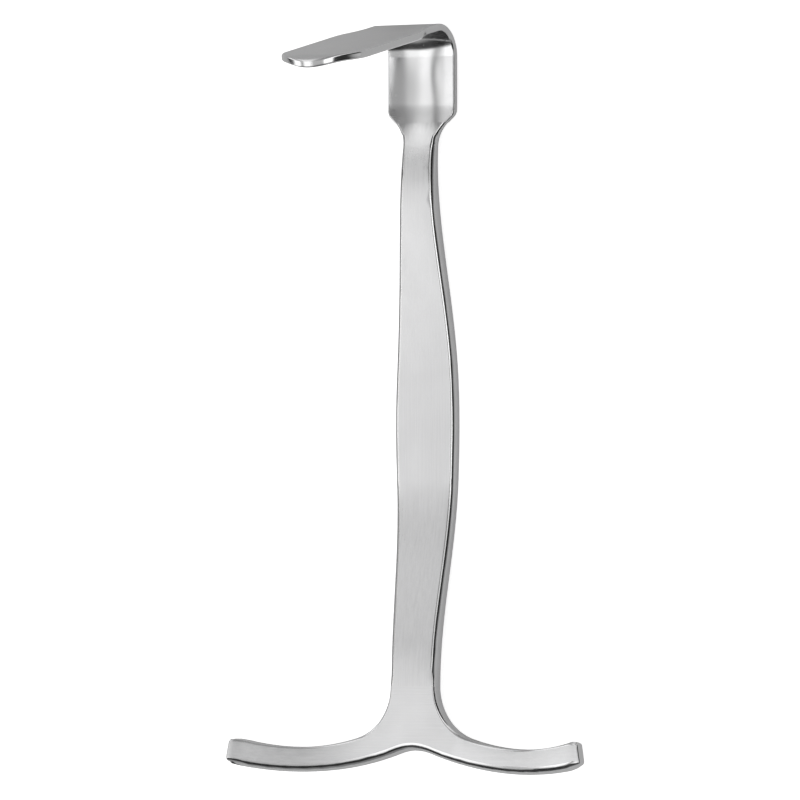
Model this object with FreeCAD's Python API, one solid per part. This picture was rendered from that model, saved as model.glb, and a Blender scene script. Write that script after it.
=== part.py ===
"""Hand-held retractor of stainless steel, lying on its back.

A flat blade is bent up from a short neck, a swelling and gently bowed shank runs back from it, and
a crossbar with two upswept arms closes the other end.

Frame: X across, Y along the shank towards the blade, Z up from the surface that the back lies on.
Y = 0 is the lowest point of the bow. Lengths are in millimetres and angles in degrees.
"""
import FreeCAD
import Part
import math
import os

# Places along the shank
ROOT_Y = -73.0            # seam between the shank and the crossbar
SWELL_Y = 10.0            # widest point of the shank
FLAT_HALF_LENGTH = 14.0   # half of the flat that the shank lies on
WAIST_Y = 81.0            # narrowest point, below the shoulders
NECK_Y = 93.5             # where the plate of the neck has its own even thickness
CROWN_Y = 115.4           # furthest point of the bend between the neck and the blade

# Widths
ROOT_WIDTH = 14.8
SWELL_WIDTH = 19.8
WAIST_WIDTH = 10.9
NECK_WIDTH = 22.0
BLADE_WIDTH = 27.6

# Thicknesses
PLATE_THICKNESS = 2.1
WAIST_THICKNESS = 3.1
SWELL_THICKNESS = 3.5
ROOT_THICKNESS = 4.2

# Heights of the back over the lowest point of the bow
ROOT_RISE = 6.4
WAIST_RISE = 4.2
NECK_RISE = 3.3

# Shoulders between the waist and the neck
SHOULDER_SLOPE = 48.0     # from the shank's axis
SHOULDER_HOLLOW = 9.0     # radius of the hollow at the waist
SHOULDER_CORNER = 3.0     # radius of the corner at the neck

# Blade
BEND_RADIUS = 9.0         # outside of the bend
BLADE_DROOP = 12.0        # past a right angle, towards the crossbar
BLADE_LENGTH = 56.0       # flat outer face, from the bend to the tip
FLARE_START = 3.0         # distance past the bend where the blade starts to widen
FLARE_LENGTH = 16.0
TIP_RADIUS = 0.54 * BLADE_WIDTH    # the end's flat arc
TIP_CORNER = 0.24 * BLADE_WIDTH    # the arcs between the end and the sides
LIP_LENGTH = 4.5          # length of the end that curls towards the crossbar
LIP_RADIUS = 10.0         # outside of that curl

# Crossbar
ARM_REACH = 58.2          # from the middle to the end face of each arm
ARM_LOW_X = 0.636 * ARM_REACH      # where each arm is furthest from the blade
ARM_HOLLOW = 1.117 * ARM_REACH     # radius of the arm's edge towards the blade
ARM_BELLY = 1.632 * ARM_REACH      # radius of the arm's outer edge
ROOT_FILLET = 15.5        # radius between the shank and the arm
NOTCH_Y = -91.3           # top of the notch under the middle
NOTCH_RADIUS = 15.0
ARM_SWEEP = 7.0           # rise of the arm's tip towards the blade's side
SWEEP_START = 0.206 * ARM_REACH    # half of the flat middle
ARM_DEPTH = 7.5           # depth of the arm at its end
ARM_END_LEAN = 8.0        # lean of the end face, square to the arm

# Rounded edges
PLATE_ROUND = 0.7         # blade and neck
BAR_ROUND = 1.1           # shank and crossbar, so that they meet flush

MARGIN = 5.0              # by which a cutting prism reaches past what it shapes
SQUARE_TURN = (60, 120)   # least and most turn in degrees at an edge that is still square
BEVEL_TURN = (30, 60)     # the same at both edges of its first bevel


def vec(x, y, z):
    return FreeCAD.Vector(x, y, z)


def polar(centre, radius, angle):
    """Point in a plane at a radius and an angle in degrees from a centre."""
    turn = math.radians(angle)
    return (centre[0] + radius * math.cos(turn), centre[1] + radius * math.sin(turn))


def towards(start, end, length):
    """Point at a length from one point towards another."""
    span = math.hypot(end[0] - start[0], end[1] - start[1])
    return (start[0] + (end[0] - start[0]) * length / span,
            start[1] + (end[1] - start[1]) * length / span)


def line(start, end, place):
    return Part.LineSegment(place(start), place(end)).toShape()


def arc(start, end, centre, place):
    """Short arc between two points about a centre."""
    radius = math.hypot(start[0] - centre[0], start[1] - centre[1])
    chord_middle = ((start[0] + end[0]) / 2, (start[1] + end[1]) / 2)
    middle = towards(centre, chord_middle, radius)
    return Part.Arc(place(start), place(middle), place(end)).toShape()


def smooth(points, place):
    """Curve through points that leaves the first and reaches the last along Y."""
    curve = Part.BSplineCurve()
    along = vec(0, math.copysign(1.0, points[-1][1] - points[0][1]), 0)
    curve.interpolate(Points=[place(point) for point in points], InitialTangent=along, FinalTangent=along)
    return curve.toShape()


def in_plan(point):
    """Point (x, y) of an outline seen from above."""
    return vec(point[0], point[1], 0)


def in_side(point):
    """Point (z, y) of an outline seen from the side."""
    return vec(0, point[1], point[0])


def in_blade(point):
    """Point (x, length past the bend) of an outline seen square to the blade."""
    z, y = along_blade(BEND_RADIUS + MARGIN, point[1])
    return vec(point[0], y, z)


def in_end(point):
    """Point (x, z) of an outline seen along the shank."""
    return vec(point[0], 0, point[1])


def prism(edges, start, run):
    """Solid swept from a closed outline, moved to its start and run along a vector."""
    face = Part.Face(Part.Wire(Part.__sortEdges__(edges)))
    face.translate(start)
    return face.extrude(run)


def mirrored(edges):
    """The edges and their mirror image across the middle plane."""
    return edges + [edge.mirror(vec(0, 0, 0), vec(1, 0, 0)) for edge in edges]


def mid_point(edge):
    return edge.valueAt((edge.FirstParameter + edge.LastParameter) / 2)


def turn_at(solid, edge):
    """Angle in degrees by which the surface turns at an edge."""
    point = mid_point(edge)
    normals = [face.normalAt(*face.Surface.parameter(point)) for face in solid.ancestorsOfType(edge, Part.Face)]
    return math.degrees(normals[0].getAngle(normals[-1]))


def lies_at_y(edge, y):
    """Whether an edge lies in a plane square to the shank."""
    box = edge.BoundBox
    return abs(box.YMin - y) < 0.01 and abs(box.YMax - y) < 0.01


def bevelled(solid, depth, turns, wanted):
    """Solid with a flat along each wanted edge whose turn is between two angles."""
    edges = [edge for edge in solid.Edges if turns[0] < turn_at(solid, edge) < turns[1] and wanted(edge)]
    return solid.makeChamfer(depth, edges).Solids[0]


def rounded(solid, radius, wanted):
    """Solid with the wanted edges rounded: three narrow flats touch each round within 0.02 mm."""
    corner = math.tan(math.radians(22.5))
    solid = bevelled(solid, radius * (1 - corner), SQUARE_TURN, wanted)
    return bevelled(solid, radius * (corner - math.tan(math.radians(11.25))), BEVEL_TURN, wanted)


def seam_y():
    """Seam between the shank and the blade's plate, where the hollow of the shoulder ends."""
    return WAIST_Y + SHOULDER_HOLLOW * math.sin(math.radians(SHOULDER_SLOPE))


def bend_centre():
    """Centre (z, y) of the bend."""
    return (NECK_RISE + BEND_RADIUS, CROWN_Y - BEND_RADIUS)


def along_blade(radius, length):
    """Point (z, y) beside the blade: on its outer or inner face by radius, at a length past the bend."""
    droop = math.radians(BLADE_DROOP)
    centre = bend_centre()
    return (centre[0] + radius * math.sin(droop) + length * math.cos(droop),
            centre[1] + radius * math.cos(droop) - length * math.sin(droop))


def lip_centre():
    """Centre (z, y) of the lip's curl."""
    return along_blade(BEND_RADIUS - LIP_RADIUS, BLADE_LENGTH - LIP_LENGTH)


def on_lip(radius, turn):
    """Point (z, y) on the lip's outer or inner arc by radius, at a turn in degrees from the flat blade."""
    return polar(lip_centre(), radius, 90 - BLADE_DROOP - turn)


def side_outline():
    """Outline of the blade, neck and shank from the side."""
    centre = bend_centre()
    inner = BEND_RADIUS - PLATE_THICKNESS
    back = [(ROOT_RISE, ROOT_Y), (0, -FLAT_HALF_LENGTH), (0, FLAT_HALF_LENGTH),
            (WAIST_RISE, WAIST_Y), (NECK_RISE, NECK_Y)]
    thickness = [ROOT_THICKNESS, SWELL_THICKNESS, SWELL_THICKNESS, WAIST_THICKNESS, PLATE_THICKNESS]
    front = [(z + thick, y) for (z, y), thick in zip(back, thickness)]
    back_bend = (NECK_RISE, centre[1])
    front_bend = (NECK_RISE + PLATE_THICKNESS, centre[1])
    outer_start = along_blade(BEND_RADIUS, 0)
    inner_start = along_blade(inner, 0)
    inner_curl = LIP_RADIUS - PLATE_THICKNESS
    past_tip = 1.5 * math.degrees(math.asin(LIP_LENGTH / inner_curl))
    outer_lip = on_lip(LIP_RADIUS, 0)
    inner_lip = on_lip(inner_curl, 0)
    outer_tip = on_lip(LIP_RADIUS, past_tip)
    inner_tip = on_lip(inner_curl, past_tip)
    return [smooth(back[:2], in_side),
            line(back[1], back[2], in_side),
            smooth(back[2:], in_side),
            line(back[-1], back_bend, in_side),
            arc(back_bend, outer_start, centre, in_side),
            line(outer_start, outer_lip, in_side),
            arc(outer_lip, outer_tip, lip_centre(), in_side),
            line(outer_tip, inner_tip, in_side),
            arc(inner_tip, inner_lip, lip_centre(), in_side),
            line(inner_lip, inner_start, in_side),
            arc(inner_start, front_bend, centre, in_side),
            line(front_bend, front[-1], in_side),
            smooth(front[2:], in_side),
            line(front[2], front[1], in_side),
            smooth(front[:2], in_side),
            line(front[0], back[0], in_side)]


def shank_half_outline():
    """Right half of the outline of the shank, shoulders and neck from above."""
    root = (ROOT_WIDTH / 2, ROOT_Y)
    swell = (SWELL_WIDTH / 2, SWELL_Y)
    waist = (WAIST_WIDTH / 2, WAIST_Y)
    side = NECK_WIDTH / 2
    hollow_centre = (waist[0] + SHOULDER_HOLLOW, waist[1])
    hollow_end = polar(hollow_centre, SHOULDER_HOLLOW, 180 - SHOULDER_SLOPE)
    corner_x = side - SHOULDER_CORNER
    corner_start_x = corner_x + SHOULDER_CORNER * math.cos(math.radians(SHOULDER_SLOPE))
    corner_start_y = hollow_end[1] + (corner_start_x - hollow_end[0]) / math.tan(math.radians(SHOULDER_SLOPE))
    corner_centre = (corner_x, corner_start_y + SHOULDER_CORNER * math.sin(math.radians(SHOULDER_SLOPE)))
    corner_end = (side, corner_centre[1])
    top = (side, CROWN_Y + MARGIN)
    return [line((0, ROOT_Y), root, in_plan),
            smooth([root, swell, waist], in_plan),
            arc(waist, hollow_end, hollow_centre, in_plan),
            line(hollow_end, (corner_start_x, corner_start_y), in_plan),
            arc((corner_start_x, corner_start_y), corner_end, corner_centre, in_plan),
            line(corner_end, top, in_plan),
            line(top, (0, top[1]), in_plan)]


def blade_half_outline():
    """Right half of the blade's outline (x, length past the bend), with its wider, round end."""
    narrow = NECK_WIDTH / 2
    wide = BLADE_WIDTH / 2
    flare_end = FLARE_START + FLARE_LENGTH
    flare_middle = FLARE_START + FLARE_LENGTH / 2
    tip_centre = (0, BLADE_LENGTH - TIP_RADIUS)
    corner_x = wide - TIP_CORNER
    corner_rise = math.sqrt((TIP_RADIUS - TIP_CORNER) ** 2 - corner_x ** 2)
    corner_centre = (corner_x, tip_centre[1] + corner_rise)
    corner_end = towards(tip_centre, corner_centre, TIP_RADIUS)
    flare = Part.BezierCurve()
    flare.setPoles([in_blade(point) for point in ((narrow, FLARE_START), (narrow, flare_middle),
                                                  (wide, flare_middle), (wide, flare_end))])
    return [line((0, 0), (narrow, 0), in_blade),
            line((narrow, 0), (narrow, FLARE_START), in_blade),
            flare.toShape(),
            line((wide, flare_end), (wide, corner_centre[1]), in_blade),
            arc((wide, corner_centre[1]), corner_end, corner_centre, in_blade),
            arc(corner_end, (0, BLADE_LENGTH), tip_centre, in_blade)]


def blade_and_shank():
    """The blade, neck and shank in one dressed outline, with square edges."""
    across = BLADE_WIDTH + 2 * MARGIN
    profile = prism(side_outline(), vec(-across / 2, 0, 0), vec(across, 0, 0))
    overlap_z = along_blade(BEND_RADIUS, FLARE_START / 2)[0]
    low = prism(mirrored(shank_half_outline()), vec(0, 0, -MARGIN), vec(0, 0, overlap_z + MARGIN))
    square_to_blade = in_blade((0, 0)) - vec(0, bend_centre()[1], bend_centre()[0])
    high = prism(mirrored(blade_half_outline()), vec(0, 0, 0), square_to_blade * -1)
    return profile.common(low.fuse(high)).removeSplitter()


def slab(y_low, y_high):
    """Box that holds everything between two places along the shank."""
    side = 2 * ARM_REACH
    return Part.makeBox(2 * side, y_high - y_low, 2 * side, vec(-side, y_low, -side))


def blade():
    """Plate of the blade and neck, with rounded edges."""
    plate = blade_and_shank().common(slab(seam_y(), CROWN_Y + MARGIN)).Solids[0]
    return rounded(plate, PLATE_ROUND, lambda edge: not lies_at_y(edge, seam_y()))


def shank():
    """Swelling, bowed shank between its two seams."""
    bar = blade_and_shank().common(slab(ROOT_Y, seam_y())).Solids[0]
    return rounded(bar, BAR_ROUND, lambda edge: not lies_at_y(edge, ROOT_Y) and not lies_at_y(edge, seam_y()))


def arm_belly_centre():
    """Centre (x, y) of the arm's outer edge, whose arc runs into the notch."""
    span = ARM_BELLY + NOTCH_RADIUS
    return (ARM_LOW_X, NOTCH_Y - NOTCH_RADIUS + math.sqrt(span ** 2 - ARM_LOW_X ** 2))


def crossbar_half_outline():
    """Right half of the crossbar's outline from above, as arcs that run into each other."""
    root = (ROOT_WIDTH / 2, ROOT_Y)
    fillet_centre = (root[0] + ROOT_FILLET, ROOT_Y)
    hollow_span = ARM_HOLLOW - ROOT_FILLET
    hollow_centre = (ARM_LOW_X, ROOT_Y + math.sqrt(hollow_span ** 2 - (ARM_LOW_X - fillet_centre[0]) ** 2))
    fillet_end = towards(hollow_centre, fillet_centre, ARM_HOLLOW)
    notch_centre = (0, NOTCH_Y - NOTCH_RADIUS)
    belly_centre = arm_belly_centre()
    notch_end = towards(notch_centre, belly_centre, NOTCH_RADIUS)
    lean = math.tan(math.radians(ARM_END_LEAN))
    upper_x = ARM_REACH - ARM_DEPTH * lean
    upper_tip = (upper_x, hollow_centre[1] - math.sqrt(ARM_HOLLOW ** 2 - (upper_x - ARM_LOW_X) ** 2))
    lower_tip = (ARM_REACH, belly_centre[1] - math.sqrt(ARM_BELLY ** 2 - (ARM_REACH - ARM_LOW_X) ** 2))
    return [line((0, ROOT_Y), root, in_plan),
            arc(root, fillet_end, fillet_centre, in_plan),
            arc(fillet_end, upper_tip, hollow_centre, in_plan),
            line(upper_tip, lower_tip, in_plan),
            arc(lower_tip, notch_end, belly_centre, in_plan),
            arc(notch_end, (0, NOTCH_Y), notch_centre, in_plan)]


def crossbar_sweep_outline():
    """Right half of the crossbar's outline along the shank: a flat middle and an upswept arm."""
    run = ARM_REACH - SWEEP_START
    radius = (run ** 2 + ARM_SWEEP ** 2) / (2 * ARM_SWEEP)
    centre = (SWEEP_START, ROOT_RISE + radius)
    reach = ARM_REACH + MARGIN
    top = ROOT_RISE + ROOT_THICKNESS
    inner = radius - ROOT_THICKNESS
    back_end = (reach, centre[1] - math.sqrt(radius ** 2 - (reach - SWEEP_START) ** 2))
    front_end = towards(centre, back_end, inner)
    return [line((0, ROOT_RISE), (SWEEP_START, ROOT_RISE), in_end),
            arc((SWEEP_START, ROOT_RISE), back_end, centre, in_end),
            line(back_end, front_end, in_end),
            arc(front_end, (SWEEP_START, top), centre, in_end),
            line((SWEEP_START, top), (0, top), in_end)]


def crossbar():
    """Crossbar with the flared root of the shank, the notch and the two swept arms."""
    height = 2 * (ROOT_RISE + ROOT_THICKNESS + ARM_SWEEP)
    plan = prism(mirrored(crossbar_half_outline()), vec(0, 0, 0), vec(0, 0, height))
    sweep = prism(mirrored(crossbar_sweep_outline()), vec(0, ROOT_Y + MARGIN, 0), vec(0, -2 * ARM_REACH, 0))
    bar = plan.common(sweep).removeSplitter().Solids[0]

    def on_end_face(edge):
        return abs(mid_point(edge).x) > ARM_REACH - ROOT_THICKNESS and edge.Length < 2 * ROOT_THICKNESS

    return rounded(bar, BAR_ROUND, lambda edge: not lies_at_y(edge, ROOT_Y) and not on_end_face(edge))


def middle_y():
    """Middle of the whole length, from the arms' lowest edge to the bend."""
    return (CROWN_Y + arm_belly_centre()[1] - ARM_BELLY) / 2


def save(name, solid):
    """Write one piece, with the origin under the middle of the whole length."""
    solid.translate(vec(0, -middle_y(), 0))
    print(name, "volume", round(solid.Volume, 2), "centre", solid.CenterOfMass, "valid", solid.isValid())
    solid.exportStep("parts/" + name + ".step")


def main():
    os.makedirs("parts", exist_ok=True)
    save("blade", blade())
    save("shank", shank())
    save("crossbar", crossbar())


main()
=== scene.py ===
import math

import bmesh
import bpy
from mathutils import Matrix, Vector


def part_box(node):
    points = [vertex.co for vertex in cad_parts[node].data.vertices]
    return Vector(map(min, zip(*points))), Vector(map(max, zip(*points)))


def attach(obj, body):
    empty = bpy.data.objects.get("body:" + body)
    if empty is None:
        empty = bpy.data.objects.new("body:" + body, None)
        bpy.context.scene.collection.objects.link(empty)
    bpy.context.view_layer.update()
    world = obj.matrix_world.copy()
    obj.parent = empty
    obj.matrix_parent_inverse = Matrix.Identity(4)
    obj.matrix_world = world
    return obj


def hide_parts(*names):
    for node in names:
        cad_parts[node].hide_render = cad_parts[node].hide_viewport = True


bl_info = {
    "name": "Hand-held retractor",
    "version": (1, 0, 0),
    "blender": (4, 5, 0),
    "location": "View3D > Sidebar > Retractor",
    "description": "Steel retractor with a blade, a bowed shank and a crossbar, on a pale floor",
    "category": "Object",
}

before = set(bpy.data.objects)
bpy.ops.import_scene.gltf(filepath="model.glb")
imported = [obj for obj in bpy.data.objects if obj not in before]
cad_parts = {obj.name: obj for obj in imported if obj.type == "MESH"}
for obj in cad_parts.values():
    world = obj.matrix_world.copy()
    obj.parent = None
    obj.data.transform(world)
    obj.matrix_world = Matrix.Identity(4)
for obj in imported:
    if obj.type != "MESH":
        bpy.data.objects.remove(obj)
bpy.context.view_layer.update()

MM = 0.001
IMAGE_SIZE = 800  # pixels, both ways
FRAME_SHIFT = (-30.3, -0.5)  # pixels from the origin to the middle of the picture, to the right and up

CLOSED_GAP = 0.002 * MM  # distance at which corners of a blank are one
FLAT_TURN = 0.4  # degrees between triangles that are one face
PLATE_ROUND = 0.56 * MM  # radius of the round that the shank's blank has along its edges
BAR_ROUND = 0.89 * MM  # the same on the crossbar's blank
SEAM_MARGIN = 3 * MM  # length beside a seam whose round stays as the next piece has it
END_MARGIN = 2 * MM  # the same at the ends of the arms
END_LENGTH = 3 * MM  # length of an arm that holds all edges of its end face
END_SHARES = (0.74, 0.93)  # size left to an arm's end face, and to the ring behind it
TIP_HEIGHT = 1 * MM  # height below the blade's highest point that is its edge
SMOOTH_TURN = 40  # degrees between faces that are shaded as one surface
FLAT_WEIGHT = 60  # how much large faces count in the shading

# Shares of a face's normal that tell front, rounds and walls from each other
ROUND_LIMITS = (0.94, 0.8, 0.6, 0.25)  # upward, between the front, the round's flats and the wall
BACK_LIMIT = -0.2  # upward, below it a face is on the back
SIDE_LIMIT = 0.2  # to the side, above it a face is on a round or a wall
SEAM_LIMIT = 0.75  # along the shank, above it a face is on its end
END_LIMIT = 0.9  # along an arm, above it a face is its end face
OUTSIDE_LIMIT = 0.3  # away from the shank, above it a face is on the blade's satin outside
FLAT_LIMIT = 0.95  # up or down, above it a face is the shank's front or back
BAR_SIDE_LIMIT = 0.12  # the side limit for the crossbar's colours
BAR_FLAT_LIMIT = 0.85  # the flat limit for the crossbar's colours

GRAIN_SHADE = 0.88  # colour of the grain's dark lines, as a share of the steel's
HAIRLINE_SHADE = 0.86  # the same of hairline marks
SATIN_ROUGHNESS = (0.27, 0.36)
POLISHED_ROUGHNESS = (0.13, 0.20)
EDGE_ROUGHNESS = (0.10, 0.18)
SMUDGE_ROUGHNESS = 0.05  # added by smudges on satin steel
HAIRLINE_ROUGHNESS = 0.15  # added by hairline marks on polished steel
FADED_ROUGHNESS = 0.5  # share of the satin's roughness that is left under full polish
SATIN_RELIEF = (0.10, 0.02 * MM)  # strength and depth of the grain on satin steel
POLISHED_RELIEF = (0.05, 0.01 * MM)  # the same on polished steel
WAVE_RELIEF = (1.0, 0.5 * MM)  # the same of polished steel's slight waves

# Cells of noise to a metre, along X, Y and Z of the vector
FINE_LINES = (9000, 110, 9000)
BROAD_STREAKS = (1500, 22, 1500)
SMUDGES = (90, 60, 90)
HAIRLINES = (420, 5200, 5200)
HAIRLINE_PATCHES = (160, 160, 160)
WAVES = (130, 45, 60)

FLOOR_SIZE = 8.0  # metres
FLOOR_GAP = 0.05 * MM  # between the object and the floor
FLOOR_GLOW = 0.88  # added to the floor for the camera alone
LAMP_PLACE = (0.25, -0.35, 1.3)  # metres
LAMP_SIZE = 0.6  # metres
LAMP_POWER = 6.0  # watts

# Light of the surroundings as a share of the peak: from left (-1) to right (1), and from the crossbar's
# side (-1) to the blade's side (1)
SKY_ACROSS = (
    (-1.0, 0.02), (-0.95, 0.10), (-0.91, 0.88), (-0.785, 0.88), (-0.75, 0.22), (-0.705, 0.22),
    (-0.65, 0.78), (-0.48, 0.88), (-0.38, 0.60), (-0.31, 0.33), (0.06, 0.31), (0.14, 1.0), (0.40, 1.0),
    (0.46, 0.02), (0.86, 0.02), (1.0, 0.35),
)
SKY_ALONG = (
    (-1.0, 0.45), (-0.88, 0.35), (-0.80, 0.04), (-0.55, 0.04), (-0.44, 1.0), (0.02, 1.0), (0.13, 0.55),
    (0.30, 0.50), (0.40, 1.0), (0.6, 0.7), (1.0, 0.45),
)
SKY_PEAK = 1.6


# Selecting and cleaning meshes


def select_only(piece):
    """Makes one object the only selected and active one."""
    bpy.ops.object.select_all(action="DESELECT")
    piece.select_set(True)
    bpy.context.view_layer.objects.active = piece


def select_vertices(piece, indices):
    """In edit mode, selects the vertices with these indices and nothing else."""
    bpy.ops.mesh.select_all(action="DESELECT")
    mesh = bmesh.from_edit_mesh(piece.data)
    mesh.verts.ensure_lookup_table()
    for index in indices:
        mesh.verts[index].select = True
    mesh.select_flush_mode()
    bmesh.update_edit_mesh(piece.data)


def select_edges(piece, wanted):
    """In edit mode, selects the edges for which wanted(edge) is true, and says how many they are."""
    mesh = bmesh.from_edit_mesh(piece.data)
    count = 0
    for face in mesh.faces:
        face.select = False
    for edge in mesh.edges:
        edge.select = wanted(edge)
        count += edge.select
    mesh.select_flush_mode()
    bmesh.update_edit_mesh(piece.data)
    return count


def forged_blank(node, name):
    """A closed copy of a CAD node's mesh, with its flat triangles joined into whole faces."""
    blank = bpy.data.objects.new(name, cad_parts[node].data.copy())
    blank.data.name = name
    blank.data.materials.clear()
    bpy.context.scene.collection.objects.link(blank)
    select_only(blank)
    bpy.ops.object.mode_set(mode="EDIT")
    bpy.ops.mesh.customdata_custom_splitnormals_clear()
    bpy.ops.mesh.select_mode(type="EDGE")
    bpy.ops.mesh.select_all(action="SELECT")
    bpy.ops.mesh.remove_doubles(threshold=CLOSED_GAP)
    bpy.ops.mesh.dissolve_limited(angle_limit=math.radians(FLAT_TURN))
    bpy.ops.mesh.normals_make_consistent(inside=False)
    bpy.ops.mesh.select_all(action="DESELECT")
    bpy.ops.object.mode_set(mode="OBJECT")
    return blank


def ease_edges(piece, width, wanted):
    """Rounds the wanted edges of a piece slightly."""
    select_only(piece)
    bpy.ops.object.mode_set(mode="EDIT")
    bpy.ops.mesh.select_mode(type="EDGE")
    if not select_edges(piece, wanted):
        raise RuntimeError("no edge to ease on " + piece.name)
    bpy.ops.mesh.bevel(offset=width, segments=3, affect="EDGES", clamp_overlap=True)
    bpy.ops.mesh.select_all(action="DESELECT")
    bpy.ops.object.mode_set(mode="OBJECT")


def round_chains(piece, wanted):
    """The four rows of vertices of a front edge's round, from the front face to the side wall. They are
    taken from the edges for which wanted(face of the round, edge) is true."""
    mesh = bmesh.new()
    mesh.from_mesh(piece.data)
    rows = [set() for limit in ROUND_LIMITS]
    for edge in mesh.edges:
        if len(edge.link_faces) != 2:
            continue
        upper, lower = sorted(edge.link_faces, key=lambda face: -face.normal.z)
        if lower.normal.z < BACK_LIMIT or not wanted(lower, edge):
            continue
        steps = [sum(face.normal.z < limit for limit in ROUND_LIMITS) for face in (upper, lower)]
        if steps[1] == steps[0] + 1:
            rows[steps[0]].update(vertex.index for vertex in edge.verts)
    mesh.free()
    return rows


def widen_round(piece, inward, before, after, wanted):
    """Widens the round of a front edge from one radius to another. inward is the direction in plan from the
    side wall to the middle of the piece."""
    rows = round_chains(piece, wanted)
    select_only(piece)
    bpy.ops.object.mode_set(mode="EDIT")
    bpy.ops.mesh.select_mode(type="VERT")
    for step, row in enumerate(rows):
        turn = math.radians(90 * step / (len(rows) - 1))
        across = (after - before) * (1 - math.sin(turn))
        down = (after - before) * (1 - math.cos(turn))
        select_vertices(piece, row)
        bpy.ops.transform.translate(value=(inward[0] * across, inward[1] * across, -down))
    bpy.ops.mesh.select_all(action="DESELECT")
    bpy.ops.object.mode_set(mode="OBJECT")


def narrow_end(piece, side, shares):
    """Rounds the corners of an arm's end in plan: its end face and the ring behind it are drawn in."""
    select_only(piece)
    bpy.ops.object.mode_set(mode="EDIT")
    bpy.ops.mesh.select_mode(type="VERT")
    mesh = bmesh.from_edit_mesh(piece.data)
    end = max(mesh.faces, key=lambda face: face.calc_area() if face.normal.x * side > END_LIMIT else 0)
    middle = end.calc_center_median()
    first = {vertex.index for vertex in end.verts}
    second = {edge.other_vert(vertex).index for vertex in end.verts for edge in vertex.link_edges} - first
    for ring, share in zip((first, second), shares):
        select_vertices(piece, ring)
        bpy.ops.transform.resize(value=(1, share, share), center_override=middle)
    bpy.ops.mesh.select_all(action="DESELECT")
    bpy.ops.object.mode_set(mode="OBJECT")


def paint_faces(piece, index, wanted):
    """Gives the faces for which wanted(face) is true the material of that index."""
    select_only(piece)
    piece.active_material_index = index
    bpy.ops.object.mode_set(mode="EDIT")
    bpy.ops.mesh.select_mode(type="FACE")
    bpy.ops.mesh.select_all(action="DESELECT")
    mesh = bmesh.from_edit_mesh(piece.data)
    for face in mesh.faces:
        face.select = wanted(face)
    bmesh.update_edit_mesh(piece.data)
    bpy.ops.object.material_slot_assign()
    bpy.ops.mesh.select_all(action="DESELECT")
    bpy.ops.object.mode_set(mode="OBJECT")


def polish(piece):
    """Smooth shading that keeps the flats flat and lets the rounded edges catch the light."""
    select_only(piece)
    bpy.ops.object.shade_smooth_by_angle(angle=math.radians(SMOOTH_TURN))
    weighted = piece.modifiers.new("flats", "WEIGHTED_NORMAL")
    weighted.weight = FLAT_WEIGHT
    weighted.keep_sharp = True
    bpy.ops.object.modifier_apply(modifier=weighted.name)


def stand_in(piece, node):
    """Puts a finished piece in the place of its CAD node."""
    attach(piece, "root")
    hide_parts(node)


# Node groups and materials


def new_group(name, inputs, outputs):
    """An empty shader node group with its sockets: (name, kind, default) in, (name, kind) out."""
    group = bpy.data.node_groups.new(name, "ShaderNodeTree")
    for label, kind, default in inputs:
        socket = group.interface.new_socket(label, in_out="INPUT", socket_type=kind)
        if default is not None:
            socket.default_value = default
    for label, kind in outputs:
        group.interface.new_socket(label, in_out="OUTPUT", socket_type=kind)
    return group, group.nodes.new("NodeGroupInput"), group.nodes.new("NodeGroupOutput")


def math_node(tree, operation, a, b):
    """A Math node whose inputs are sockets or numbers."""
    node = tree.nodes.new("ShaderNodeMath")
    node.operation = operation
    for socket, value in zip(node.inputs, (a, b)):
        if isinstance(value, (int, float)):
            socket.default_value = value
        else:
            tree.links.new(value, socket)
    return node.outputs[0]


def noise_node(tree, vector, detail, roughness=0.5):
    """The value of a noise texture on a vector, with a cell to each unit."""
    node = tree.nodes.new("ShaderNodeTexNoise")
    node.inputs["Scale"].default_value = 1.0
    node.inputs["Detail"].default_value = detail
    node.inputs["Roughness"].default_value = roughness
    tree.links.new(vector, node.inputs["Vector"])
    return node.outputs["Fac"]


def stretched(tree, vector, scale):
    """A vector scaled by three factors."""
    node = tree.nodes.new("ShaderNodeVectorMath")
    node.operation = "MULTIPLY"
    node.inputs[1].default_value = scale
    tree.links.new(vector, node.inputs[0])
    return node.outputs[0]


def spread(tree, value, low, high, to_low, to_high):
    """A value moved from one range to another, held at its ends."""
    node = tree.nodes.new("ShaderNodeMapRange")
    node.clamp = True
    for socket, number in zip(node.inputs[1:5], (low, high, to_low, to_high)):
        socket.default_value = number
    tree.links.new(value, node.inputs[0])
    return node.outputs[0]


def grain_group():
    """Fine parallel lines left by a grinding belt, along Y of the vector that it gets."""
    group, given, made = new_group(
        "Belt grain",
        [("Vector", "NodeSocketVector", None)],
        [("Lines", "NodeSocketFloat"), ("Streaks", "NodeSocketFloat")],
    )
    fine = noise_node(group, stretched(group, given.outputs["Vector"], FINE_LINES), 3.0, 0.6)
    broad = noise_node(group, stretched(group, given.outputs["Vector"], BROAD_STREAKS), 2.0)
    group.links.new(fine, made.inputs["Lines"])
    group.links.new(broad, made.inputs["Streaks"])
    return group


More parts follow.
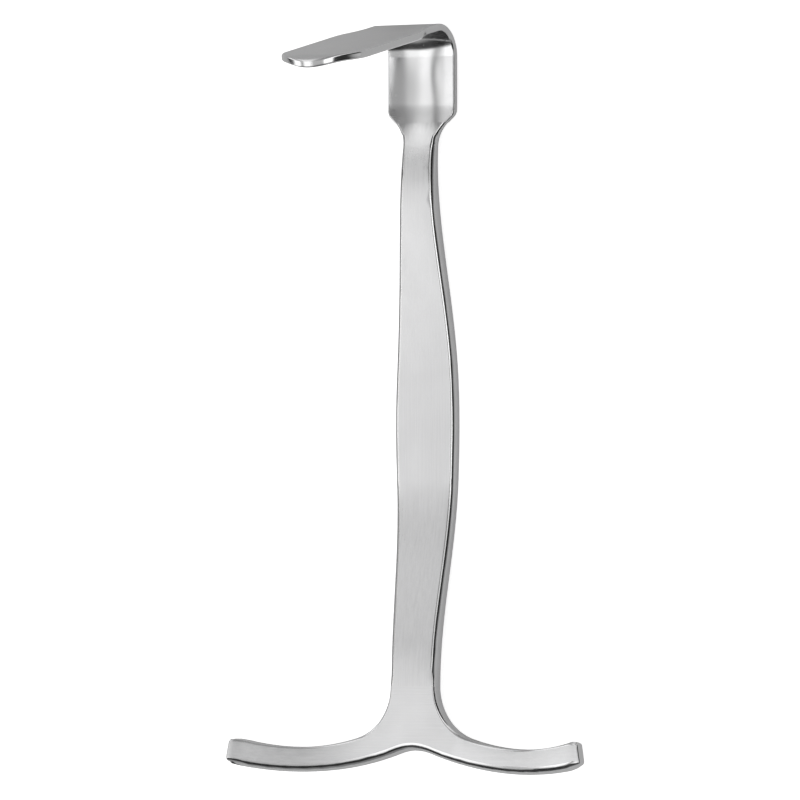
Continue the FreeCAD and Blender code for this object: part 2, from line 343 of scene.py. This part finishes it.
def handling_group():
    """Soft smudges and sparse hairline marks that use leaves on steel."""
    group, given, made = new_group(
        "Handling marks",
        [("Vector", "NodeSocketVector", None)],
        [("Smudges", "NodeSocketFloat"), ("Hairlines", "NodeSocketFloat")],
    )
    smudges = noise_node(group, stretched(group, given.outputs["Vector"], SMUDGES), 3.0, 0.55)
    field = noise_node(group, stretched(group, given.outputs["Vector"], HAIRLINES), 2.0)
    patches = noise_node(group, stretched(group, given.outputs["Vector"], HAIRLINE_PATCHES), 1.0)
    lines = spread(group, field, 0.62, 0.70, 0.0, 1.0)
    sparse = spread(group, patches, 0.52, 0.62, 0.0, 1.0)
    group.links.new(spread(group, smudges, 0.3, 0.7, 0.0, 1.0), made.inputs["Smudges"])
    group.links.new(math_node(group, "MULTIPLY", lines, sparse), made.inputs["Hairlines"])
    return group


def placed_group(tree, group, vector):
    """A node group placed in a material, on a vector."""
    node = tree.nodes.new("ShaderNodeGroup")
    node.node_tree = group
    tree.links.new(vector, node.inputs["Vector"])
    return node


def turned(tree, vector, degrees):
    """A vector turned about Z, so that the grain follows another direction."""
    node = tree.nodes.new("ShaderNodeMapping")
    node.inputs["Rotation"].default_value = (0, 0, math.radians(degrees))
    tree.links.new(vector, node.inputs["Vector"])
    return node.outputs[0]


def grey_ramp(tree, value, dark, light):
    """A grey between two colours by a value."""
    node = tree.nodes.new("ShaderNodeMix")
    node.data_type = "RGBA"
    node.inputs["A"].default_value = (*dark, 1)
    node.inputs["B"].default_value = (*light, 1)
    tree.links.new(value, node.inputs["Factor"])
    return node.outputs["Result"]


def bump_node(tree, height, strength, distance, normal=None):
    """A Bump node, on top of another one where normal is given."""
    node = tree.nodes.new("ShaderNodeBump")
    node.inputs["Strength"].default_value = strength
    node.inputs["Distance"].default_value = distance
    tree.links.new(height, node.inputs["Height"])
    if normal is not None:
        tree.links.new(normal, node.inputs["Normal"])
    return node.outputs["Normal"]


def steel_base(name):
    """A new material with its shader and the Object coordinates of the piece."""
    material = bpy.data.materials.new(name)
    material.use_nodes = True
    tree = material.node_tree
    shader = tree.nodes["Principled BSDF"]
    shader.inputs["Metallic"].default_value = 1.0
    coordinates = tree.nodes.new("ShaderNodeTexCoord").outputs["Object"]
    return material, tree, shader, coordinates


def dish_height(tree, coordinates, radius):
    """Height of a shallow hollow across the piece, like the one that a polishing wheel leaves, and the
    place along the piece."""
    parts = tree.nodes.new("ShaderNodeSeparateXYZ")
    tree.links.new(coordinates, parts.inputs[0])
    square = math_node(tree, "MULTIPLY", parts.outputs["X"], parts.outputs["X"])
    return math_node(tree, "MULTIPLY", square, 0.5 / radius), parts.outputs["Y"]


def satin_steel(name, colour, groups, grain_turn, cloud=0.2, fade=None):
    """Belt-ground steel with its grain at an angle from the shank's axis. cloud is how much smudges dull
    it. Where the grain turns to polish, fade is where the polish starts, where it is full, and the radius
    of its hollow."""
    material, tree, shader, coordinates = steel_base(name)
    grain = placed_group(tree, groups["grain"], turned(tree, coordinates, grain_turn))
    marks = placed_group(tree, groups["handling"], coordinates)
    streak = math_node(tree, "ADD", math_node(tree, "MULTIPLY", grain.outputs["Lines"], 0.5),
                       math_node(tree, "MULTIPLY", grain.outputs["Streaks"], 0.5))
    tone = spread(tree, streak, 0.36, 0.64, 0.0, 1.0)
    dulled = spread(tree, marks.outputs["Smudges"], 0.0, 1.0, 1.0 - cloud, 1.0)
    clouded = math_node(tree, "MULTIPLY", tone, dulled)
    grey = grey_ramp(tree, clouded, tuple(GRAIN_SHADE * c for c in colour), colour)
    tree.links.new(grey, shader.inputs["Base Color"])
    rough = math_node(tree, "ADD", spread(tree, streak, 0.35, 0.65, *SATIN_ROUGHNESS),
                      math_node(tree, "MULTIPLY", marks.outputs["Smudges"], SMUDGE_ROUGHNESS))
    hollow = None
    if fade is not None:
        start, full, dish_radius = fade
        height, along = dish_height(tree, coordinates, dish_radius)
        rough = math_node(tree, "MULTIPLY", rough, spread(tree, along, start, full, 1.0, FADED_ROUGHNESS))
        height = math_node(tree, "MULTIPLY", height, spread(tree, along, start, full, 0.0, 1.0))
        hollow = bump_node(tree, height, 1.0, 1.0)
    tree.links.new(rough, shader.inputs["Roughness"])
    lined = bump_node(tree, grain.outputs["Lines"], *SATIN_RELIEF, hollow)
    tree.links.new(lined, shader.inputs["Normal"])
    return material


def edge_steel(name, colour, groups):
    """Steel of the rounded edges and side walls, rubbed bright by use."""
    material, tree, shader, coordinates = steel_base(name)
    marks = placed_group(tree, groups["handling"], coordinates)
    shader.inputs["Base Color"].default_value = (*colour, 1)
    rough = spread(tree, marks.outputs["Smudges"], 0.0, 1.0, *EDGE_ROUGHNESS)
    tree.links.new(rough, shader.inputs["Roughness"])
    return material


def polished_steel(name, colour, groups, dish_radius):
    """Mirror polished steel with hairlines, the hollow of a polishing wheel and slight waves."""
    material, tree, shader, coordinates = steel_base(name)
    grain = placed_group(tree, groups["grain"], coordinates)
    marks = placed_group(tree, groups["handling"], coordinates)
    grey = grey_ramp(tree, marks.outputs["Hairlines"], colour, tuple(HAIRLINE_SHADE * c for c in colour))
    tree.links.new(grey, shader.inputs["Base Color"])
    rough = math_node(tree, "ADD", spread(tree, marks.outputs["Smudges"], 0.0, 1.0, *POLISHED_ROUGHNESS),
                      math_node(tree, "MULTIPLY", marks.outputs["Hairlines"], HAIRLINE_ROUGHNESS))
    tree.links.new(rough, shader.inputs["Roughness"])
    hollow = bump_node(tree, dish_height(tree, coordinates, dish_radius)[0], 1.0, 1.0)
    waves = noise_node(tree, stretched(tree, coordinates, WAVES), 0.0)
    waved = bump_node(tree, waves, *WAVE_RELIEF, hollow)
    lined = bump_node(tree, grain.outputs["Lines"], *POLISHED_RELIEF, waved)
    tree.links.new(lined, shader.inputs["Normal"])
    return material


# Settings


class RetractorSettings(bpy.types.PropertyGroup):
    """Sizes and colours of the retractor and its stage."""

    steel_colour: bpy.props.FloatVectorProperty(
        name="Steel", description="Colour of the bare steel", subtype="COLOR", size=3,
        min=0, max=1, default=(0.80, 0.80, 0.805))
    dish_radius: bpy.props.FloatProperty(
        name="Polished hollow", description="Radius of the hollow that polishing leaves across the neck",
        unit="LENGTH", subtype="DISTANCE", default=38 * MM, min=10 * MM, precision=4)
    end_round: bpy.props.FloatProperty(
        name="End rounding", description="Rounding of the edges of the arms' end faces",
        unit="LENGTH", subtype="DISTANCE", default=0.9 * MM, min=0.05 * MM, max=2 * MM, precision=5)
    side_round: bpy.props.FloatProperty(
        name="Side round", description="Radius of the round along the front edges of the shank",
        unit="LENGTH", subtype="DISTANCE", default=1.2 * MM, min=PLATE_ROUND, max=1.4 * MM, precision=5)
    belly_round: bpy.props.FloatProperty(
        name="Outer round", description="Radius of the round along the crossbar's outer front edge",
        unit="LENGTH", subtype="DISTANCE", default=2.3 * MM, min=BAR_ROUND, max=2.4 * MM, precision=5)
    fade_length: bpy.props.FloatProperty(
        name="Polish fade", description="Length over which the neck's polish fades into the shank's grain",
        unit="LENGTH", subtype="DISTANCE", default=14 * MM, min=1 * MM, precision=4)
    grain_turn: bpy.props.FloatProperty(
        name="Crossbar grain", description="Turn of the crossbar's grain from the shank's axis, in degrees",
        default=90.0)
    floor_colour: bpy.props.FloatVectorProperty(
        name="Floor", description="Colour of the floor", subtype="COLOR", size=3,
        min=0, max=1, default=(0.58, 0.58, 0.58))
    camera_turn: bpy.props.FloatProperty(
        name="Camera turn", description="Lean of the view from straight above towards +X, in degrees",
        default=30.0)
    camera_lift: bpy.props.FloatProperty(
        name="Camera lift", description="Lean of the view towards the blade, in degrees", default=-1.0)
    field: bpy.props.FloatProperty(
        name="Field", description="Width of the picture at the object",
        unit="LENGTH", subtype="DISTANCE", default=228.6 * MM, precision=5)
    lens: bpy.props.FloatProperty(
        name="Lens", description="Focal length, in millimetres", default=400.0, min=50, max=1000)


def settings():
    """The settings that the operators read."""
    return bpy.context.scene.retractor


def effect_groups():
    """The shared node groups, built once."""
    if "Belt grain" not in bpy.data.node_groups:
        grain_group()
        handling_group()
    return {"grain": bpy.data.node_groups["Belt grain"], "handling": bpy.data.node_groups["Handling marks"]}


# Pieces


class RETRACTOR_OT_blade(bpy.types.Operator):
    """Blade, bend and neck: polished inside, satin outside, with bright edges"""

    bl_idname = "retractor.blade"
    bl_label = "Blade"

    def execute(self, context):
        chosen, groups = settings(), effect_groups()
        colour = tuple(chosen.steel_colour)
        blade = forged_blank("blade", "blade_plate")
        blade.data.materials.append(polished_steel("polished steel", colour, groups, chosen.dish_radius))
        blade.data.materials.append(satin_steel("satin steel, blade", colour, groups, 0.0, cloud=1.0))
        blade.data.materials.append(edge_steel("bright edge, blade", colour, groups))
        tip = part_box("blade")[1].z - TIP_HEIGHT

        def on_outside(face):
            return face.normal.y > OUTSIDE_LIMIT and abs(face.normal.x) < SIDE_LIMIT

        def on_edge(face):
            return abs(face.normal.x) > SIDE_LIMIT or face.calc_center_median().z > tip

        paint_faces(blade, 1, on_outside)
        paint_faces(blade, 2, on_edge)
        polish(blade)
        stand_in(blade, "blade")
        return {"FINISHED"}


class RETRACTOR_OT_shank(bpy.types.Operator):
    """Swelling shank with its grain along it and bright edges"""

    bl_idname = "retractor.shank"
    bl_label = "Shank"

    def execute(self, context):
        chosen, groups = settings(), effect_groups()
        colour = tuple(chosen.steel_colour)
        shank = forged_blank("shank", "shank_bar")
        root, seam = (corner.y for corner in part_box("shank"))
        for side in (-1, 1):
            def on_side(face, edge):
                lengthwise = [vertex.co.y for vertex in edge.verts]
                return (face.normal.x * side > SIDE_LIMIT and abs(face.normal.y) < SEAM_LIMIT
                        and root + SEAM_MARGIN < min(lengthwise) and max(lengthwise) < seam - SEAM_MARGIN)

            widen_round(shank, (-side, 0), PLATE_ROUND, chosen.side_round, on_side)
        fade = (seam - chosen.fade_length, seam, chosen.dish_radius)
        shank.data.materials.append(satin_steel("satin steel, shank", colour, groups, 0.0, fade=fade))
        shank.data.materials.append(edge_steel("bright edge, shank", colour, groups))

        def on_edge(face):
            return abs(face.normal.z) < FLAT_LIMIT and abs(face.normal.x) > SIDE_LIMIT

        paint_faces(shank, 1, on_edge)
        polish(shank)
        stand_in(shank, "shank")
        return {"FINISHED"}


class RETRACTOR_OT_crossbar(bpy.types.Operator):
    """Crossbar with two swept arms, a fuller round along its outer edge and eased end faces"""

    bl_idname = "retractor.crossbar"
    bl_label = "Crossbar"

    def execute(self, context):
        chosen, groups = settings(), effect_groups()
        colour = tuple(chosen.steel_colour)
        crossbar = forged_blank("crossbar", "crossbar_grip")
        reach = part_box("crossbar")[1].x

        def on_belly(face, edge):
            outermost = max(abs(vertex.co.x) for vertex in edge.verts)
            return face.normal.y < -SIDE_LIMIT and outermost < reach - END_MARGIN

        def on_edge(face):
            return abs(face.normal.y) > BAR_SIDE_LIMIT or abs(face.normal.z) < BAR_FLAT_LIMIT

        def on_end_face(edge):
            ends = [abs(vertex.co.x) for vertex in edge.verts]
            flat = [face for face in edge.link_faces if abs(face.normal.x) > END_LIMIT]
            return min(ends) > reach - END_LENGTH and len(flat) == 1 and len(edge.link_faces) == 2

        widen_round(crossbar, (0, 1), BAR_ROUND, chosen.belly_round, on_belly)
        for side in (-1, 1):
            narrow_end(crossbar, side, END_SHARES)
        ease_edges(crossbar, chosen.end_round, on_end_face)
        satin = satin_steel("satin steel, crossbar", colour, groups, chosen.grain_turn)
        crossbar.data.materials.append(satin)
        crossbar.data.materials.append(edge_steel("bright edge, crossbar", colour, groups))
        paint_faces(crossbar, 1, on_edge)
        polish(crossbar)
        stand_in(crossbar, "crossbar")
        return {"FINISHED"}


# Stage


def floor_material(colour):
    """Pale floor that looks white to the camera and keeps the shadow."""
    material = bpy.data.materials.new("pale floor")
    material.use_nodes = True
    tree = material.node_tree
    shader = tree.nodes["Principled BSDF"]
    shader.inputs["Base Color"].default_value = (*colour, 1)
    shader.inputs["Roughness"].default_value = 0.9
    shader.inputs["Specular IOR Level"].default_value = 0.0
    shader.inputs["Emission Color"].default_value = (1, 1, 1, 1)
    seen = tree.nodes.new("ShaderNodeLightPath").outputs["Is Camera Ray"]
    tree.links.new(math_node(tree, "MULTIPLY", seen, FLOOR_GLOW), shader.inputs["Emission Strength"])
    return material


def level_ramp(tree, value, stops):
    """Light level by a value from -1 to 1, through (value, level) stops."""
    node = tree.nodes.new("ShaderNodeValToRGB")
    while len(node.color_ramp.elements) < len(stops):
        node.color_ramp.elements.new(1.0)
    for element, (place, level) in zip(node.color_ramp.elements, stops):
        element.position = (place + 1) / 2
        element.color = (level, level, level, 1)
    tree.links.new(spread(tree, value, -1.0, 1.0, 0.0, 1.0), node.inputs["Fac"])
    return node.outputs["Color"]


def studio_world():
    """Soft surroundings: bright with a grey gap on the left, grey overhead, a bright strip and then dark
    on the right, and white to the camera."""
    world = bpy.data.worlds.new("studio")
    bpy.context.scene.world = world
    world.use_nodes = True
    tree = world.node_tree
    background = tree.nodes["Background"]
    direction = tree.nodes.new("ShaderNodeTexCoord").outputs["Generated"]
    parts = tree.nodes.new("ShaderNodeSeparateXYZ")
    tree.links.new(direction, parts.inputs[0])
    across = level_ramp(tree, parts.outputs["X"], SKY_ACROSS)
    along = level_ramp(tree, parts.outputs["Y"], SKY_ALONG)
    level = math_node(tree, "MULTIPLY", math_node(tree, "MULTIPLY", across, along), SKY_PEAK)
    seen = tree.nodes.new("ShaderNodeLightPath").outputs["Is Camera Ray"]
    background.inputs["Color"].default_value = (1, 1, 1, 1)
    tree.links.new(math_node(tree, "MAXIMUM", level, seen), background.inputs["Strength"])


def area_lamp(name, place, size, power):
    """A square soft lamp that lights the object and the floor, and doesn't mirror in the steel."""
    lamp = bpy.data.objects.new(name, bpy.data.lights.new(name, "AREA"))
    lamp.data.shape = "SQUARE"
    lamp.data.size = size
    lamp.data.energy = power
    lamp.visible_glossy = False
    lamp.location = place
    lamp.rotation_euler = (-Vector(place)).to_track_quat("-Z", "Y").to_euler()
    bpy.context.scene.collection.objects.link(lamp)


def place_camera(lean, lift, field, lens):
    """Camera over the object, leaning from straight above, at the distance that gives the field."""
    a, e = math.radians(lean), math.radians(lift)
    right = Vector((math.cos(a), 0, -math.sin(a)))
    up = Vector((-math.sin(a) * math.sin(e), math.cos(e), -math.cos(a) * math.sin(e)))
    back = right.cross(up)
    pixel = field / IMAGE_SIZE
    aim = right * (FRAME_SHIFT[0] * pixel) + up * (FRAME_SHIFT[1] * pixel)
    camera = bpy.data.objects.new("camera", bpy.data.cameras.new("camera"))
    camera.data.sensor_width = 36
    camera.data.lens = lens
    distance = field * lens / camera.data.sensor_width
    turn = Matrix((right, up, back)).transposed().to_4x4()
    camera.matrix_world = Matrix.Translation(aim + back * distance) @ turn
    camera.data.clip_start = 0.1 * distance
    camera.data.clip_end = 10 * distance
    bpy.context.scene.collection.objects.link(camera)
    bpy.context.scene.camera = camera


class RETRACTOR_OT_stage(bpy.types.Operator):
    """Floor, lamp, surroundings and camera"""

    bl_idname = "retractor.stage"
    bl_label = "Stage"

    def execute(self, context):
        chosen = settings()
        bpy.ops.object.select_all(action="DESELECT")
        bpy.ops.mesh.primitive_plane_add(size=FLOOR_SIZE, location=(0, 0, -FLOOR_GAP))
        floor = context.active_object
        floor.name = "floor"
        floor.data.materials.append(floor_material(tuple(chosen.floor_colour)))
        studio_world()
        area_lamp("floor lamp", LAMP_PLACE, LAMP_SIZE, LAMP_POWER)
        place_camera(chosen.camera_turn, chosen.camera_lift, chosen.field, chosen.lens)
        context.scene.view_settings.view_transform = "Standard"
        return {"FINISHED"}


class RETRACTOR_PT_panel(bpy.types.Panel):
    """Steps that build the retractor"""

    bl_label = "Retractor"
    bl_idname = "RETRACTOR_PT_panel"
    bl_space_type = "VIEW_3D"
    bl_region_type = "UI"
    bl_category = "Retractor"

    def draw(self, context):
        for step in OPERATORS:
            self.layout.operator(step.bl_idname)
        for name in RetractorSettings.__annotations__:
            self.layout.prop(context.scene.retractor, name)


OPERATORS = (RETRACTOR_OT_blade, RETRACTOR_OT_shank, RETRACTOR_OT_crossbar, RETRACTOR_OT_stage)
CLASSES = (RetractorSettings, *OPERATORS, RETRACTOR_PT_panel)


def register():
    for cls in CLASSES:
        bpy.utils.register_class(cls)
    bpy.types.Scene.retractor = bpy.props.PointerProperty(type=RetractorSettings)


def unregister():
    del bpy.types.Scene.retractor
    for cls in reversed(CLASSES):
        bpy.utils.unregister_class(cls)


def main():
    """Builds the retractor and its stage."""
    register()
    bpy.ops.retractor.blade()
    bpy.ops.retractor.shank()
    bpy.ops.retractor.crossbar()
    bpy.ops.retractor.stage()


if __name__ == "__main__":
    main()
